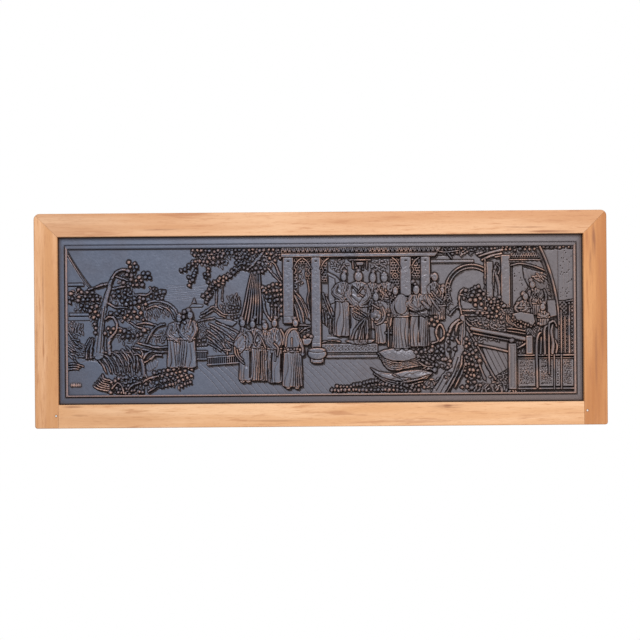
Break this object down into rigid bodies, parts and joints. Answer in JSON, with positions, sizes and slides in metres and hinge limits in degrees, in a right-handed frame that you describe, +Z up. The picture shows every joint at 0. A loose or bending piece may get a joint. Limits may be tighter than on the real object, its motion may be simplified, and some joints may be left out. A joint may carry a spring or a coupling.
{
  "type": "carved wall panel",
  "caption": "Wide relief panel of a garden pavilion scene, cast dark with copper-rubbed edges, in a plain hardwood frame for hanging on a wall.",
  "frame": {"origin": "middle of the top rail's back face, on the wall plane", "axes": "+X to the right seen from the front, +Y into the wall, +Z up; the carved face looks along -Y"},
  "size_m": [1.2, 0.03, 0.45],
  "materials": {
    "rail_wood": "light orange-tan hardwood, straight grain, thin satin oil",
    "stile_wood": "warmer orange hardwood with cathedral grain and a few dark streaks, thin satin oil",
    "patinated_casting": "blue-black patina, copper-coloured where the raised edges are rubbed, black in the hollows",
    "pin_steel": "small bright pin head"
  },
  "bodies": {
    "root": {"top_rail": "rail_wood", "bottom_rail": "rail_wood", "left_stile": "stile_wood", "right_stile": "stile_wood", "relief_panel": "patinated_casting", "joint_pin_left": "pin_steel", "joint_pin_right": "pin_steel"}
  },
  "joints": []
}
